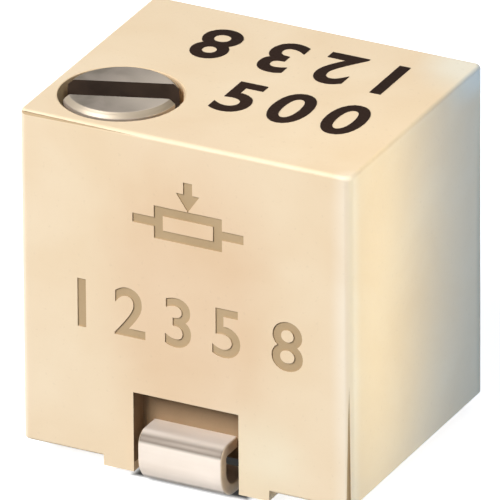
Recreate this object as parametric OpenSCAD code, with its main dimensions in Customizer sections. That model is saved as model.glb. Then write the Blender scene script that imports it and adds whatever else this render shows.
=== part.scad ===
// Square surface-mount trimmer potentiometer, multi-turn, top adjust, J leads.
// Millimetres. X is to the right, Y to the back, Z up. The board plane is z = 0.

/* [Body] */
// Width of the housing from left to right
body_w = 3.7; // [3.6:0.05:4.2]
// Depth of the housing from front to back, without the leads
body_d = 3.0; // [2.95:0.05:3.6]
// Height of the top face above the board
top_z = 3.85; // [3.8:0.05:4.6]
// Height of the underside above the board
under_z = 0.18; // [0.1:0.01:0.22]
// Height of the small standoff feet above the board
foot_z = 0.08; // [0.04:0.01:0.09]
// Radius of the upright edges
edge_r = 0.08; // [0.04:0.01:0.15]
// Chamfer along the edges of the top face
edge_c = 0.04; // [0.01:0.01:0.08]
// Width of the front notch above the middle lead
notch_w = 1.18; // [1.1:0.02:1.3]
// Height of the top of the front notch above the board
notch_z = 0.97; // [0.8:0.01:1.05]
// Depth of the front notch behind the front face
notch_t = 0.21; // [0.1:0.01:0.25]

/* [Adjusting screw] */
// Distance of the screw axis left of the middle
screw_x = 1.085; // [1.05:0.005:1.12]
// Distance of the screw axis in front of the middle
screw_y = 0.735; // [0.7:0.005:0.77]
// Diameter of the screw head
head_d = 1.18; // [1.1:0.01:1.2]
// Radial gap round the screw head
head_gap = 0.05; // [0.03:0.005:0.06]
// Height of the screw head
head_h = 0.57; // [0.52:0.01:0.58]
// How far the head stands above the top face
head_rise = 0.05; // [0:0.005:0.06]
// Width of the sloped edge round the head
head_edge = 0.055; // [0.02:0.005:0.07]
// Width of the driver slot
slot_w = 0.35; // [0.25:0.01:0.4]
// Depth of the driver slot
slot_t = 0.36; // [0.25:0.01:0.38]
// Angle of the slot from the left-right line at mid travel
slot_a = 20; // [0:1:90]
// Diameter of the necks that hold the ring and the clip
neck_d = 0.74; // [0.66:0.01:0.76]
// Radial gap round the parts that turn
run_gap = 0.03; // [0.02:0.005:0.04]

/* [Worm and gear] */
// Number of teeth on the rotor gear
teeth = 15; // [15:1:15]
// Space between the gear and the leads under it
gear_low_gap = 0.165; // [0.14:0.005:0.18]
// Distance from the top of the gear to the top face
gear_high_gap = 0.925; // [0.91:0.005:0.96]
// Space between the gear and the right wall
gear_side_gap = 0.205; // [0.19:0.005:0.25]
// Pitch diameter of the worm
worm_d = 0.86; // [0.84:0.01:0.88]
// Height of a tooth above the pitch line, in modules
tooth_up_m = 0.77; // [0.7:0.01:0.8]
// Depth of a tooth space below the pitch line, in modules
tooth_down_m = 0.96; // [0.94:0.01:1.05]
// Play between the thread and the teeth along the pitch line
tooth_play = 0.03; // [0.02:0.002:0.05]
// Angle of the tooth flanks
flank_a = 20; // [18:0.5:25]
// Distance from the top of the thread to the neck above it
thread_gap = 0.15; // [0.12:0.01:0.25]
// Width of the gear rim
gear_t = 0.5; // [0.4:0.02:0.5]
// Diameter of the moulded post that the rotor turns on
post_d = 0.48; // [0.4:0.01:0.5]

/* [Element and wiper] */
// Thickness of the ceramic plate
plate_t = 0.5; // [0.4:0.02:0.54]
// Thickness of the printed films on the plate
film_t = 0.02; // [0.02:0.002:0.03]
// Width of the resistive track as a share of its radius
track_share = 0.4; // [0.34:0.01:0.42]
// Angle of the gap between the two ends of the track
track_gap = 60; // [54:1:64]
// Outer radius of the collector ring as a share of the track's
collect_share = 0.625; // [0.6:0.005:0.66]
// Thickness of the wiper sheet
wiper_t = 0.03; // [0.02:0.005:0.04]
// Width of one wiper finger
finger_w = 0.07; // [0.05:0.005:0.08]

/* [Leads] */
// Thickness of the lead strip
lead_t = 0.13; // [0.11:0.005:0.14]
// Width of the front lead, pin 2
front_lead_w = 0.94; // [0.8:0.02:1.0]
// Width of the rear leads, pins 1 and 3
rear_lead_w = 0.6; // [0.5:0.02:0.66]
// Distance of the middle of a rear lead from the side of the housing
rear_lead_side = 0.7; // [0.69:0.005:0.73]
// How far the leads stand out beyond the housing
lead_out = 0.15; // [0.14:0.005:0.2]
// Height of the upper face of the leads where they leave the housing
lead_z = 0.61; // [0.6:0.005:0.63]
// Outer radius of the curl under the housing
curl_r = 0.32; // [0.28:0.01:0.34]
// Length of the flat that is soldered to the board
flat_l = 0.16; // [0.1:0.01:0.2]

/* [Hidden] */
$fn = 64;
eps = 0.01;
body_x = body_w / 2;
body_y = body_d / 2;
wall = 0.25;
floor_z = lead_z - lead_t;

sx = -screw_x;
sy = -screw_y;
bore_d = head_d + 2 * head_gap;
head_z = top_z + head_rise;
ring_t = 0.3;
ring_z = head_z - head_h - ring_t;
collar_t = 0.12;
clip_neck_t = 0.16;
clip_t = 0.12;
clip_neck_z = ring_z - collar_t - clip_neck_t;
clip_z = clip_neck_z + (clip_neck_t - clip_t) / 2;
clip_leg = 0.215;
clip_side = neck_d / 2 + run_gap + clip_leg;
clip_front = neck_d / 2 + 0.095;
ring_in_r = neck_d / 2 + eps;
ring_r = (bore_d / 2 - ring_in_r) / 2;

worm_r = worm_d / 2;
tip_m = teeth / 2 + tooth_up_m;
gear_low = lead_z + gear_low_gap;
gear_high = top_z - gear_high_gap;
gear_right = body_x - wall - gear_side_gap;
gear_tip_r = min((gear_high - gear_low) / 2, (gear_right - sx - worm_r) / (2 - tooth_up_m / tip_m));
gear_m = gear_tip_r / tip_m;
tooth_up = tooth_up_m * gear_m;
tooth_down = tooth_down_m * gear_m;
pitch = PI * gear_m;
gear_r = gear_m * teeth / 2;
gear_root_r = gear_r - tooth_down;
rotor_z = (gear_low + gear_high) / 2;
worm_tip_r = worm_r + tooth_up;
worm_root_r = worm_r - tooth_down;
lead_a = atan(gear_m / worm_d);
rotor_x = sx + worm_r + gear_r;
worm_top = clip_neck_z - thread_gap;
worm_l = 2 * (worm_top - rotor_z);
worm_z = rotor_z - worm_l / 2;
worm_bore_r = worm_tip_r + 0.04;
worm_room_z = worm_z - 0.2;
journal_d = 2 * worm_root_r - 0.01;
journal_l = 0.3;
journal_z = worm_room_z - journal_l + 0.03;
blind_z = journal_z - 0.03;
steps = 24;
turns = floor(worm_l / pitch * steps) / steps;
ramp = 4;
dip = 0.05;

gear_y = sy - gear_t / 2;
room_y = gear_y - 0.075;
room_r = gear_tip_r + 0.055;
boss_r = 0.45;
boss_t = 0.055;
carrier_t = 0.2;
carrier_r = gear_root_r - 0.05;
carrier_y = gear_y + gear_t;
wiper_y = carrier_y + carrier_t;
post_end_y = wiper_y + 0.08;
pin_d = 0.12;
pin_r = 0.575 * carrier_r;
pin_h = 0.06;
sheet_r = 0.775 * carrier_r;
sheet_tab_l = 0.925 * carrier_r;
sheet_tab_w = 0.44;
out_root = 0.45 * carrier_r;
in_root = 0.9 * carrier_r;
finger_gap = 0.03;

plate_y = 0.02;
film_y = plate_y - film_t;
plate_x = body_x - wall - 0.12;
plate_gap = 0.02;
plate_z = floor_z + film_t;
plate_top = top_z - 0.47;
back_y = plate_y + plate_t;
track_r = carrier_r;
track_w = track_share * track_r;
collect_r = collect_share * track_r;
collect_in_r = post_d / 2 + 0.05;
film_low = plate_z;
tab_top = lead_z + 0.44;
pad_top = tab_top;
mid_tab_top = lead_z + 0.17;
mid_tab_w = 0.6;
mid_tab_x = mid_tab_w / 2;
solder_h = 0.1;
pad_gap = 0.12;
film_room_z = rotor_z - 0.6625 * track_r;
// The corners of an end pad near the track, in track radii to the side of and below the axis
PAD_CORNERS = [[0.3625, 1.1], [0.2875, 0.9125], [0.675, 0.6875], [1.025, 0.9375]];
rear_lead_x = body_x - rear_lead_side;
pad_x0 = rear_lead_x - rear_lead_w / 2;
pad_x1 = rear_lead_x + rear_lead_w / 2;
strip_w = 0.18;

pocket_x = plate_x + plate_gap;
pocket_top = plate_top + plate_gap;
cover_x = body_x - wall;
cover_top = top_z - 0.3;
cover_y = body_y - 0.45;
cover_t = 0.3;
rib_x = 0.5;
rib_h = 0.1 * (plate_top - plate_z);
rib_zs = [for (share = [0.35, 0.8]) plate_z + share * (plate_top - plate_z)];
seal_y = cover_y + cover_t;
seal_t = 0.12;
lead_face = body_y + lead_out;
bend_r = 0.15;
curl_y = lead_face - curl_r;
curl_end = 30;
rest_y = curl_y - flat_l / 2;
recess_y = curl_y - flat_l - curl_r * sin(curl_end) - 0.04;
notch_gap = 0.12;
step_y = recess_y + 0.02;
foot_x = notch_w / 2 + 0.34;
foot_l = 0.6;
rear_foot_x = 0.35;

housing_c = [0.95, 0.87, 0.74];
metal_c = [0.82, 0.8, 0.76];
brass_c = [0.72, 0.64, 0.5];
film_c = [0.2, 0.18, 0.17];
silver_c = [0.85, 0.85, 0.82];

// Shared shapes

// A rod along Y from y0 to y1 round the rotor axis
module rod_y(r, y0, y1) {
    translate([rotor_x, y0, rotor_z]) rotate([-90, 0, 0]) cylinder(r = r, h = y1 - y0);
}

// A box between two corners
module box(a, b) {
    translate(a) cube(b - a);
}

// A profile drawn in Y and Z, drawn out along X about the middle
module along_x(w) {
    rotate([90, 0, 90]) linear_extrude(height = w, center = true) children();
}

// Part of a flat ring between two radii and two angles
module ring_part(r_out, r_in, a0, a1) {
    far = 2 * r_out;
    mid = (a0 + a1) / 2;
    difference() {
        intersection() {
            circle(r = r_out);
            polygon([[0, 0], far * [cos(a0), sin(a0)], far * [cos(mid), sin(mid)],
                far * [cos(a1), sin(a1)]]);
        }
        circle(r = r_in);
    }
}

// Housing

module housing_block() {
    difference() {
        translate([0, 0, under_z]) linear_extrude(height = top_z - under_z) {
            square([body_w - 2 * edge_r, body_d], center = true);
            square([body_w, body_d - 2 * edge_r], center = true);
            for (ix = [-1, 1], iy = [-1, 1])
                translate([ix * (body_x - edge_r), iy * (body_y - edge_r)]) circle(r = edge_r);
        }
        for (side = [0, 180]) rotate([0, 0, side]) {
            translate([body_x, 0, top_z]) rotate([0, 45, 0])
                cube([edge_c * sqrt(2), body_d + 1, edge_c * sqrt(2)], center = true);
            translate([0, body_y, top_z]) rotate([45, 0, 0])
                cube([body_w + 1, edge_c * sqrt(2), edge_c * sqrt(2)], center = true);
        }
    }
}

module housing_feet() {
    for (side = [-1, 1])
        box([side > 0 ? notch_w / 2 : -foot_x, -body_y, foot_z],
            [side > 0 ? foot_x : -notch_w / 2, foot_l - body_y, under_z + eps]);
    box([-rear_foot_x, body_y - foot_l, foot_z], [rear_foot_x, body_y, under_z + eps]);
}

// The hole for the screw, from the top face down to the blind bearing
module screw_bore() {
    translate([sx, sy, 0]) {
        translate([0, 0, clip_neck_z - 0.05]) cylinder(d = bore_d, h = top_z);
        translate([0, 0, worm_room_z]) cylinder(r = worm_bore_r, h = clip_neck_z - worm_room_z);
        translate([0, 0, blind_z]) cylinder(d = journal_d + 2 * run_gap, h = worm_l);
    }
}

// The notches and recesses round the three leads, and the channel for the middle one
module lead_spaces() {
    box([-notch_w / 2, -body_y - 1, 0], [notch_w / 2, notch_t - body_y, notch_z]);
    box([-notch_w / 2, -body_y - 1, 0], [notch_w / 2, -recess_y, floor_z]);
    box([-front_lead_w / 2, -body_y, floor_z], [front_lead_w / 2, -step_y, lead_z]);
    box([-mid_tab_x, -step_y - eps, floor_z], [mid_tab_x, plate_y, lead_z]);
    box([-mid_tab_x, film_y - lead_t - 0.02, floor_z],
        [mid_tab_x, plate_y, mid_tab_top + solder_h + 0.02]);
    for (side = [-1, 1]) {
        x0 = min(side * (pad_x0 - notch_gap), side * (pad_x1 + notch_gap));
        box([x0, recess_y, 0], [x0 + rear_lead_w + 2 * notch_gap, body_y + 1, lead_z]);
    }
}

module housing() color(housing_c) {
    difference() {
        union() {
            housing_block();
            housing_feet();
        }
        screw_bore();
        rod_y(room_r, room_y, plate_y + eps);
        box([-pocket_x, plate_y, floor_z], [pocket_x, body_y, pocket_top]);
        box([-cover_x, cover_y, floor_z], [cover_x, body_y + 1, cover_top]);
        box([-pocket_x, film_y, floor_z], [pocket_x, plate_y + eps, film_room_z]);
        box([sx - clip_side, sy - clip_front, clip_z], [sx + clip_side, plate_y + eps, clip_z + clip_t]);
        lead_spaces();
    }
    rod_y(post_d / 2, room_y - eps, post_end_y);
    difference() {
        rod_y(boss_r, room_y - eps, room_y + boss_t);
        rod_y(post_d / 2 - eps, room_y - 1, room_y + 1);
    }
}

// Adjusting screw

function half_tooth(r) = (pitch - tooth_play) / 4 - (r - worm_r) * tan(flank_a);

module worm_thread() {
    n = turns * steps;
    inner = worm_root_r - dip;
    start_a = -180 * (turns + 1);
    points = [for (i = [0:n])
        let(a = start_a + i * 360 / steps,
            z = rotor_z + pitch * (i / steps - turns / 2),
            grow = min(1, i / ramp, (n - i) / ramp),
            tip = inner + 0.02 + (worm_tip_r - inner - 0.02) * grow)
        for (p = [[inner, -half_tooth(inner)], [tip, -half_tooth(tip)],
            [tip, half_tooth(tip)], [inner, half_tooth(inner)]])
            [p[0] * cos(a), p[0] * sin(a), z + p[1]]];
    sides = [for (i = [0:n - 1], j = [0:3])
        let(a = 4 * i + j, b = 4 * i + (j + 1) % 4)
        for (f = [[a, b, b + 4], [a, b + 4, a + 4]]) f];
    ends = [[0, 3, 2], [0, 2, 1], [4 * n, 4 * n + 1, 4 * n + 2], [4 * n, 4 * n + 2, 4 * n + 3]];
    polyhedron(points = points, faces = concat(sides, ends), convexity = 10);
}

module adjusting_screw() color(brass_c) translate([sx, sy, 0]) {
    difference() {
        union() {
            translate([0, 0, head_z - head_h]) cylinder(d = head_d, h = head_h - head_edge);
            translate([0, 0, head_z - head_edge])
                cylinder(d1 = head_d, d2 = head_d - 2 * head_edge, h = head_edge);
        }
        translate([0, 0, head_z]) rotate([0, 0, slot_a])
            cube([2 * head_d, slot_w, 2 * slot_t], center = true);
    }
    translate([0, 0, clip_neck_z - 0.05]) cylinder(d = neck_d, h = head_z - head_h - clip_neck_z + 0.06);
    translate([0, 0, ring_z - collar_t]) cylinder(d = head_d, h = collar_t);
    translate([0, 0, worm_z - eps])
        cylinder(r = worm_root_r, h = clip_neck_z - worm_z + 0.02);
    translate([0, 0, journal_z]) cylinder(d = journal_d, h = worm_z - journal_z + eps);
    worm_thread();
}

// The rubber ring that seals the screw in its bore
module screw_o_ring() color([0.12, 0.12, 0.12])
    translate([sx, sy, ring_z + ring_t / 2]) rotate_extrude()
        translate([ring_in_r + ring_r, 0]) circle(r = ring_r);

// The fork that keeps the screw from lifting out
module screw_retainer() color(metal_c)
    translate([sx, sy, clip_z]) linear_extrude(height = clip_t) difference() {
        translate([-clip_side, -clip_front]) square([2 * clip_side, clip_front + screw_y + plate_y]);
        circle(d = neck_d + 2 * run_gap);
        translate([-neck_d / 2 - run_gap, -1]) square([neck_d + 2 * run_gap, 1]);
    }

// Rotor

function inv(a) = tan(a) - a * PI / 180;
function tooth_half_a(r) = (pitch - tooth_play) / 4 / gear_r * 180 / PI
    + (inv(flank_a) - inv(acos(min(1, gear_r * cos(flank_a) / r)))) * 180 / PI;

module gear_tooth() {
    base_r = gear_r * cos(flank_a);
    tip_rs = [for (i = [0:4]) base_r + (gear_tip_r - base_r) * i / 4];
    rs = concat([gear_root_r - dip], tip_rs);
    polygon(concat(
        [for (r = rs) r * [cos(tooth_half_a(r)), -sin(tooth_half_a(r))]],
        [for (i = [len(rs) - 1:-1:0]) rs[i] * [cos(tooth_half_a(rs[i])), sin(tooth_half_a(rs[i]))]]));
}

module rotor_gear() color([0.3, 0.3, 0.32]) {
    difference() {
        union() {
            intersection() {
                translate([rotor_x, sy, rotor_z])
                    for (i = [0:teeth - 1]) rotate([0, 180 + i * 360 / teeth, 0])
                        rotate([90, 0, 0]) rotate([-lead_a, 0, 0])
                            linear_extrude(height = 1.4 * gear_t, center = true) gear_tooth();
                rod_y(gear_tip_r + 0.2, gear_y, carrier_y);
            }
            rod_y(gear_root_r, gear_y, carrier_y);
            rod_y(carrier_r, carrier_y - eps, wiper_y);
        }
        rod_y(post_d / 2 + 0.02, gear_y - 1, wiper_y + 1);
    }
    for (side = [-1, 1]) translate([rotor_x + side * pin_r, wiper_y - eps, rotor_z])
        rotate([-90, 0, 0]) cylinder(d = pin_d, h = pin_h + eps);
}

// One wiper finger, rising from the sheet at height z0 to the film at height z1
module finger(x, z0, z1) {
    rise = film_y - wiper_t - wiper_y - wiper_t / 2;
    run = z1 - z0;
    a = atan(rise / abs(run));
    long = sqrt(rise * rise + run * run);
    tip_r = wiper_t;
    translate([rotor_x + x, wiper_y + wiper_t / 2, rotor_z + z0])
        rotate([run > 0 ? -a : a, 0, 0])
            translate([-finger_w / 2, -wiper_t / 2, run > 0 ? 0 : -long])
                cube([finger_w, wiper_t, long]);
    translate([rotor_x + x - finger_w / 2, film_y - tip_r, rotor_z + z1])
        rotate([0, 90, 0]) cylinder(r = tip_r, h = finger_w);
}

module wiper() color([0.86, 0.74, 0.5]) {
    difference() {
        union() {
            rod_y(sheet_r, wiper_y, wiper_y + wiper_t);
            box([rotor_x - sheet_tab_w / 2, wiper_y, rotor_z - sheet_tab_l],
                [rotor_x + sheet_tab_w / 2, wiper_y + wiper_t, rotor_z]);
        }
        rod_y(post_d / 2 + 0.05, wiper_y - 1, wiper_y + 1);
        for (side = [-1, 1]) translate([rotor_x + side * pin_r, wiper_y - 1, rotor_z])
            rotate([-90, 0, 0]) cylinder(d = pin_d, h = 2);
    }
    for (i = [-1.5:1:1.5]) finger(i * (finger_w + finger_gap), out_root, track_r);
    for (i = [-1:1]) finger(i * (finger_w + finger_gap), -in_root, -(collect_in_r + collect_r) / 2);
}

// Resistance element

module ceramic_element() color([0.94, 0.94, 0.92])
    box([-plate_x, plate_y, plate_z], [plate_x, back_y, plate_top]);

// A film on the front of the plate, drawn in X and Z
module film() {
    translate([0, plate_y, 0]) rotate([90, 0, 0]) linear_extrude(height = film_t) children();
}

module track_shape() {
    translate([rotor_x, rotor_z]) difference() {
        circle(r = track_r + track_w / 2);
        circle(r = track_r - track_w / 2);
        polygon([[0, 0], 3 * [-sin(track_gap / 2), -cos(track_gap / 2)],
            3 * [sin(track_gap / 2), -cos(track_gap / 2)]]);
    }
}

module resistive_track() color(film_c) film() track_shape();

module collector_ring() color(silver_c) film() {
    difference() {
        union() {
            translate([rotor_x, rotor_z]) circle(r = collect_r);
            translate([rotor_x - strip_w / 2, film_low])
                square([strip_w, rotor_z - film_low - collect_in_r - 0.05]);
        }
        translate([rotor_x, rotor_z]) circle(r = collect_in_r);
    }
    translate([plate_gap - mid_tab_x, film_low])
        square([rotor_x + strip_w / 2 - plate_gap + mid_tab_x, mid_tab_top + solder_h - film_low]);
}

// The part of an end pad that folds under the plate and up its back
module pad_wrap(side) {
    x0 = side > 0 ? pad_x0 : -pad_x1;
    x1 = x0 + rear_lead_w;
    box([x0, film_y, floor_z], [x1, back_y + film_t, plate_z]);
    box([x0, back_y, plate_z - eps], [x1, back_y + film_t, tab_top + solder_h]);
}

// An end pad, from its end of the track to the edge of the plate and round it
module end_pad(side, inner_x) {
    near = [for (p = PAD_CORNERS) [rotor_x + side * p[0] * track_r, rotor_z - p[1] * track_r]];
    film() difference() {
        polygon(concat([[side * pad_x1, film_low], [inner_x, film_low], [inner_x, near[0][1]]],
            near, [[side * pad_x1, pad_top]]));
        track_shape();
    }
    pad_wrap(side);
}

module end_pad_1() color(silver_c) end_pad(-1, -mid_tab_x - pad_gap);

module end_pad_3() color(silver_c) end_pad(1, rotor_x + strip_w / 2 + pad_gap);

// Leads

// The outer end of a lead, from the height of the strip down to the flat on the board
module lead_hook() {
    translate([lead_face - bend_r, lead_z - bend_r]) ring_part(bend_r, bend_r - lead_t, 0, 90);
    translate([lead_face - lead_t, curl_r]) square([lead_t, lead_z - bend_r - curl_r]);
    translate([curl_y, curl_r]) ring_part(curl_r, curl_r - lead_t, 270, 360);
    translate([curl_y - flat_l, 0]) square([flat_l, lead_t]);
    translate([curl_y - flat_l, curl_r]) ring_part(curl_r, curl_r - lead_t, 270 - curl_end, 270);
}

// The inner end of a lead, a strip with an upright tab that starts at y0
module lead_tab(y0, y1, top) {
    translate([y0 + bend_r, floor_z]) square([y1 - y0 - bend_r, lead_t]);
    translate([y0 + bend_r, floor_z + bend_r]) ring_part(bend_r, bend_r - lead_t, 180, 270);
    translate([y0, floor_z + bend_r]) square([lead_t, top - floor_z - bend_r]);
}

module rear_terminal(side) color(metal_c) translate([side * rear_lead_x, 0, 0])
    along_x(rear_lead_w) {
        lead_tab(back_y + film_t, lead_face - bend_r, tab_top);
        lead_hook();
    }

module terminal_1() rear_terminal(-1);

module terminal_3() rear_terminal(1);

module terminal_2() color(metal_c) rotate([0, 0, 180]) {
    along_x(mid_tab_w) lead_tab(-film_y, step_y, mid_tab_top);
    along_x(front_lead_w) {
        translate([step_y, floor_z]) square([lead_face - bend_r - step_y, lead_t]);
        lead_hook();
    }
}

// A wedge of solder on top of a tab
module solder(w, y0, z0) {
    along_x(w) polygon([[y0, z0], [y0 + lead_t, z0], [y0, z0 + solder_h]]);
}

module solder_joint_1() color(silver_c)
    translate([-rear_lead_x, 0, 0]) solder(rear_lead_w, back_y + film_t, tab_top);

module solder_joint_3() color(silver_c)
    translate([rear_lead_x, 0, 0]) solder(rear_lead_w, back_y + film_t, tab_top);

module solder_joint_2() color(silver_c)
    rotate([0, 0, 180]) solder(mid_tab_w - 0.04, -film_y, mid_tab_top);

// Back

module strip_holes() {
    for (side = [-1, 1])
        box([side > 0 ? pad_x0 : -pad_x1, 0, floor_z - eps],
            [side > 0 ? pad_x1 : -pad_x0, body_y + 1, lead_z]);
}

module rear_cover() color(housing_c) {
    difference() {
        box([-cover_x + 0.02, cover_y, floor_z], [cover_x - 0.02, seal_y, cover_top - 0.02]);
        strip_holes();
    }
    for (z = rib_zs) box([-rib_x, back_y, z], [rib_x, cover_y + eps, z + rib_h]);
}

module epoxy_seal() color([0.55, 0.47, 0.36]) difference() {
    box([-cover_x, seal_y, floor_z], [cover_x, seal_y + seal_t, cover_top]);
    strip_holes();
}

housing();
adjusting_screw();
screw_o_ring();
screw_retainer();
rotor_gear();
wiper();
ceramic_element();
resistive_track();
collector_ring();
end_pad_1();
end_pad_3();
terminal_1();
terminal_2();
terminal_3();
solder_joint_1();
solder_joint_2();
solder_joint_3();
rear_cover();
epoxy_seal();
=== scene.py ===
# %% [markdown]
# A square surface-mount trimmer potentiometer, 3.7 mm wide. A cream moulded housing holds a
# slotted screw, whose worm turns a small gear and a sprung wiper over a resistive track on a
# ceramic plate. The CAD model is loaded first: it gives each piece its place, and this script
# gives the finish.

# %% Load the frame
import bpy
import bmesh
import math
from mathutils import Matrix, Vector


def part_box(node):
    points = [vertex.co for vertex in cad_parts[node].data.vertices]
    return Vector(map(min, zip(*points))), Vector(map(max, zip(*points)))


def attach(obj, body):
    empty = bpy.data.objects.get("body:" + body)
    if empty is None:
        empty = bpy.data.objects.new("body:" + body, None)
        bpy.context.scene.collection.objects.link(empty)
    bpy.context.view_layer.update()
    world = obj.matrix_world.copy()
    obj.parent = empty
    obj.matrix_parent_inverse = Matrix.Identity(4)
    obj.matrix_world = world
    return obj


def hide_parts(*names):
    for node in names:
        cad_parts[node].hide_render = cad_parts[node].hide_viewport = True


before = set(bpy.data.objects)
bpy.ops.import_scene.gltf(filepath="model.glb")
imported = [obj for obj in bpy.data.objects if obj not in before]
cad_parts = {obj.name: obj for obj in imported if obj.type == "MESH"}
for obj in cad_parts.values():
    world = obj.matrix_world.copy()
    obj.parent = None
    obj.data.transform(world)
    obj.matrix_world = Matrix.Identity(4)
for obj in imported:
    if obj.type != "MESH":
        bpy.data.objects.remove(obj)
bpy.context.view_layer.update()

# %% [markdown]
# The part is so small that Blender's mesh tools would treat its corners as one point. Each piece
# is therefore drawn in millimetres, as if a millimetre were a metre, and brought down to metres
# at the very end. The camera, the floor and the lamps are put in metres at once.

# %% Millimetres and new objects
MM = 0.001


def add_object(name, data):
    """A new object in the scene that holds a mesh, a camera, a lamp or a text."""
    piece = bpy.data.objects.new(name, data)
    bpy.context.scene.collection.objects.link(piece)
    return piece


print("one millimetre is", MM, "m")

# %% [markdown]
# The photograph was taken from the front right and a little above, from far away: the edges
# hardly converge. A long lens from 160 mm gives the same look. The direction was found by fitting
# the corners and the outline of the housing, and the small steps centre the part as in the
# photograph.

# %% Camera
VIEW_TURN = math.radians(26.85)
VIEW_TILT = math.radians(25.79)
VIEW_ROLL = math.radians(-0.35)
VIEW_DISTANCE = 160.0
PIXELS_PER_MM = 99.42
FRAME_PIXELS = 500
SENSOR = 36.0
CLIP_NEAR_M, CLIP_FAR_M = 0.01, 2.0
AIM = Vector((0, 0, 1.925))
STEP_LEFT, STEP_UP = 0.025, 0.091

forward = Vector((-math.sin(VIEW_TURN) * math.cos(VIEW_TILT),
                  math.cos(VIEW_TURN) * math.cos(VIEW_TILT), -math.sin(VIEW_TILT)))
level = Vector((math.cos(VIEW_TURN), math.sin(VIEW_TURN), 0))
upward = level.cross(forward)
right = level * math.cos(VIEW_ROLL) + upward * math.sin(VIEW_ROLL)
top = right.cross(forward)

lens = bpy.data.cameras.new("camera")
lens.sensor_width = SENSOR
lens.lens = PIXELS_PER_MM * VIEW_DISTANCE * SENSOR / FRAME_PIXELS
lens.clip_start, lens.clip_end = CLIP_NEAR_M, CLIP_FAR_M
camera = add_object("camera", lens)
eye = AIM - forward * VIEW_DISTANCE - right * STEP_LEFT + top * STEP_UP
camera.matrix_world = Matrix((
    (right.x, top.x, -forward.x, eye.x * MM),
    (right.y, top.y, -forward.y, eye.y * MM),
    (right.z, top.z, -forward.z, eye.z * MM),
    (0, 0, 0, 1)))
bpy.context.scene.camera = camera
print("lens", round(lens.lens), "mm")

# %% [markdown]
# Small parts are photographed on white, in a light tent. The tent's walls send a weak, slightly
# cool light from all sides, which fills the shadows. Colours are shown as they are, without a
# film look, so that white paper comes out white.

# %% Light tent
TENT_COLOUR = (0.90, 0.95, 1.0, 1)
TENT_STRENGTH = 0.16

scene = bpy.context.scene
scene.view_settings.view_transform = "Standard"
scene.view_settings.look = "None"
world = bpy.data.worlds.new("tent")
world.use_nodes = True
sky = world.node_tree.nodes["Background"]
sky.inputs["Color"].default_value = TENT_COLOUR
sky.inputs["Strength"].default_value = TENT_STRENGTH
scene.world = world
print("tent light", TENT_STRENGTH)

# %% [markdown]
# Materials and shapes are both built from node trees here. These two helpers make a node in one
# line: its settings are given by name, and each input is either joined to another node's socket
# or set to a value.

# %% Node helpers
def add_node(tree, kind, inputs=None, **settings):
    """A node with its settings, and its inputs joined to sockets or set to values."""
    made = tree.nodes.new(kind)
    for label, value in settings.items():
        setattr(made, label, value)
    for label, value in (inputs or {}).items():
        if isinstance(value, bpy.types.NodeSocket):
            tree.links.new(value, made.inputs[label])
        else:
            made.inputs[label].default_value = value
    return made.outputs


def calculate(tree, operation, *values):
    """The result of a sum on one, two or three values or sockets."""
    return add_node(tree, "ShaderNodeMath", dict(enumerate(values)), operation=operation)[0]


print("helpers:", add_node.__name__, calculate.__name__)

# %% [markdown]
# The paper glows a little of its own, as a light table does, and sends no colour back onto the
# part. The spot under the front lead is a painted contact shadow: the paper is darker there and
# glows less.
# The spot is a rectangle with soft sides: its Object coordinates are scaled so that the sides lie
# near 1, and the larger of the two distances from its middle sets the glow.

# %% Paper floor
PAPER_HALF, PAPER_T, PAPER_ROUGHNESS = 400, 4, 0.9
SPOT_Y = -0.71875  # the spot's middle, in mm
SPOT_SCALE_X, SPOT_SCALE_Y = 1.75, 1.6  # per mm; its half sizes are about 1 over these
SPOT_EDGE, PAPER_EDGE = 1.04, 1.24
SPOT_GLOW, PAPER_GLOW = 0.03, 0.8


def block(name, low, high):
    """A plain box between two corners."""
    shape = bmesh.new()
    bmesh.ops.create_cube(shape, size=1)
    low, high = Vector(low), Vector(high)
    for v in shape.verts:
        v.co = Vector([low[i] + (v.co[i] + 0.5) * (high[i] - low[i]) for i in range(3)])
    mesh = bpy.data.meshes.new(name)
    shape.to_mesh(mesh)
    shape.free()
    return add_object(name, mesh)


floor = block("floor", (-PAPER_HALF, -PAPER_HALF, -PAPER_T), (PAPER_HALF, PAPER_HALF, 0))
floor.data.transform(Matrix.Scale(MM, 4))
floor.visible_diffuse = False
floor_paper = bpy.data.materials.new("floor_paper")
floor_paper.use_nodes = True
paper_tree = floor_paper.node_tree
scaled = add_node(paper_tree, "ShaderNodeMapping", {
    "Vector": add_node(paper_tree, "ShaderNodeTexCoord")["Object"],
    "Location": (0, -SPOT_Y * SPOT_SCALE_Y, 0),
    "Scale": (SPOT_SCALE_X / MM, SPOT_SCALE_Y / MM, 0)})["Vector"]
mirrored = add_node(paper_tree, "ShaderNodeVectorMath", {0: scaled}, operation="ABSOLUTE")[0]
apart = add_node(paper_tree, "ShaderNodeSeparateXYZ", {"Vector": mirrored})
glow_and_painted_shadow = add_node(paper_tree, "ShaderNodeMapRange", {
    "Value": calculate(paper_tree, "MAXIMUM", apart["X"], apart["Y"]),
    "From Min": SPOT_EDGE, "From Max": PAPER_EDGE,
    "To Min": SPOT_GLOW, "To Max": PAPER_GLOW}, interpolation_type="SMOOTHSTEP")["Result"]
paper = paper_tree.nodes["Principled BSDF"]
paper.inputs["Roughness"].default_value = PAPER_ROUGHNESS
paper.inputs["Emission Color"].default_value = (1, 1, 1, 1)
# The same value darkens the paper's colour, which paints the shadow in the spot.
for label in ("Emission Strength", "Base Color"):
    paper_tree.links.new(glow_and_painted_shadow, paper.inputs[label])
floor.data.materials.append(floor_paper)
print("paper", [round(v, 3) for v in floor.dimensions], "m")

# %% [markdown]
# A large soft lamp above the left front lights the front and the top alike. Two low lamps stand
# on the right: a cool one, and close to the front corner a warm one, so that the right side fades
# from cream to blue-grey as in the photograph. A faint one overhead lifts the top.

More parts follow.
